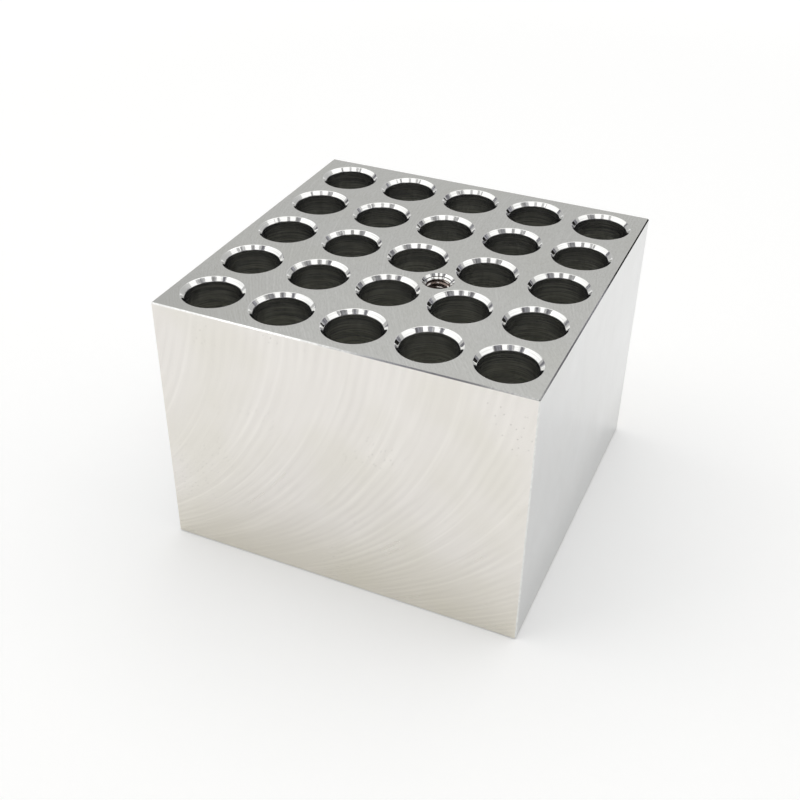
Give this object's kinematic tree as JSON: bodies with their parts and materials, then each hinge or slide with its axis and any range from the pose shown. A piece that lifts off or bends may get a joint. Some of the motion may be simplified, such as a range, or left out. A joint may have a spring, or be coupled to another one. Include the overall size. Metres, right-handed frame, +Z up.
{
  "type": "heat block insert",
  "caption": "Square machined aluminium block with a grid of blind round tube wells and a tapped hole for a lifting handle.",
  "frame": {"origin": "middle of the base face", "axes": "+Z up, out of the wells' mouths; +X to the right and +Y to the back, seen from the front face"},
  "size_m": [0.095, 0.095, 0.07],
  "materials": {
    "milled_aluminium": "bright fly-cut sides, finely milled top, polished bevels at the wells, darker drilled bores"
  },
  "bodies": {
    "root": {"heat_block": "milled_aluminium"}
  },
  "joints": []
}
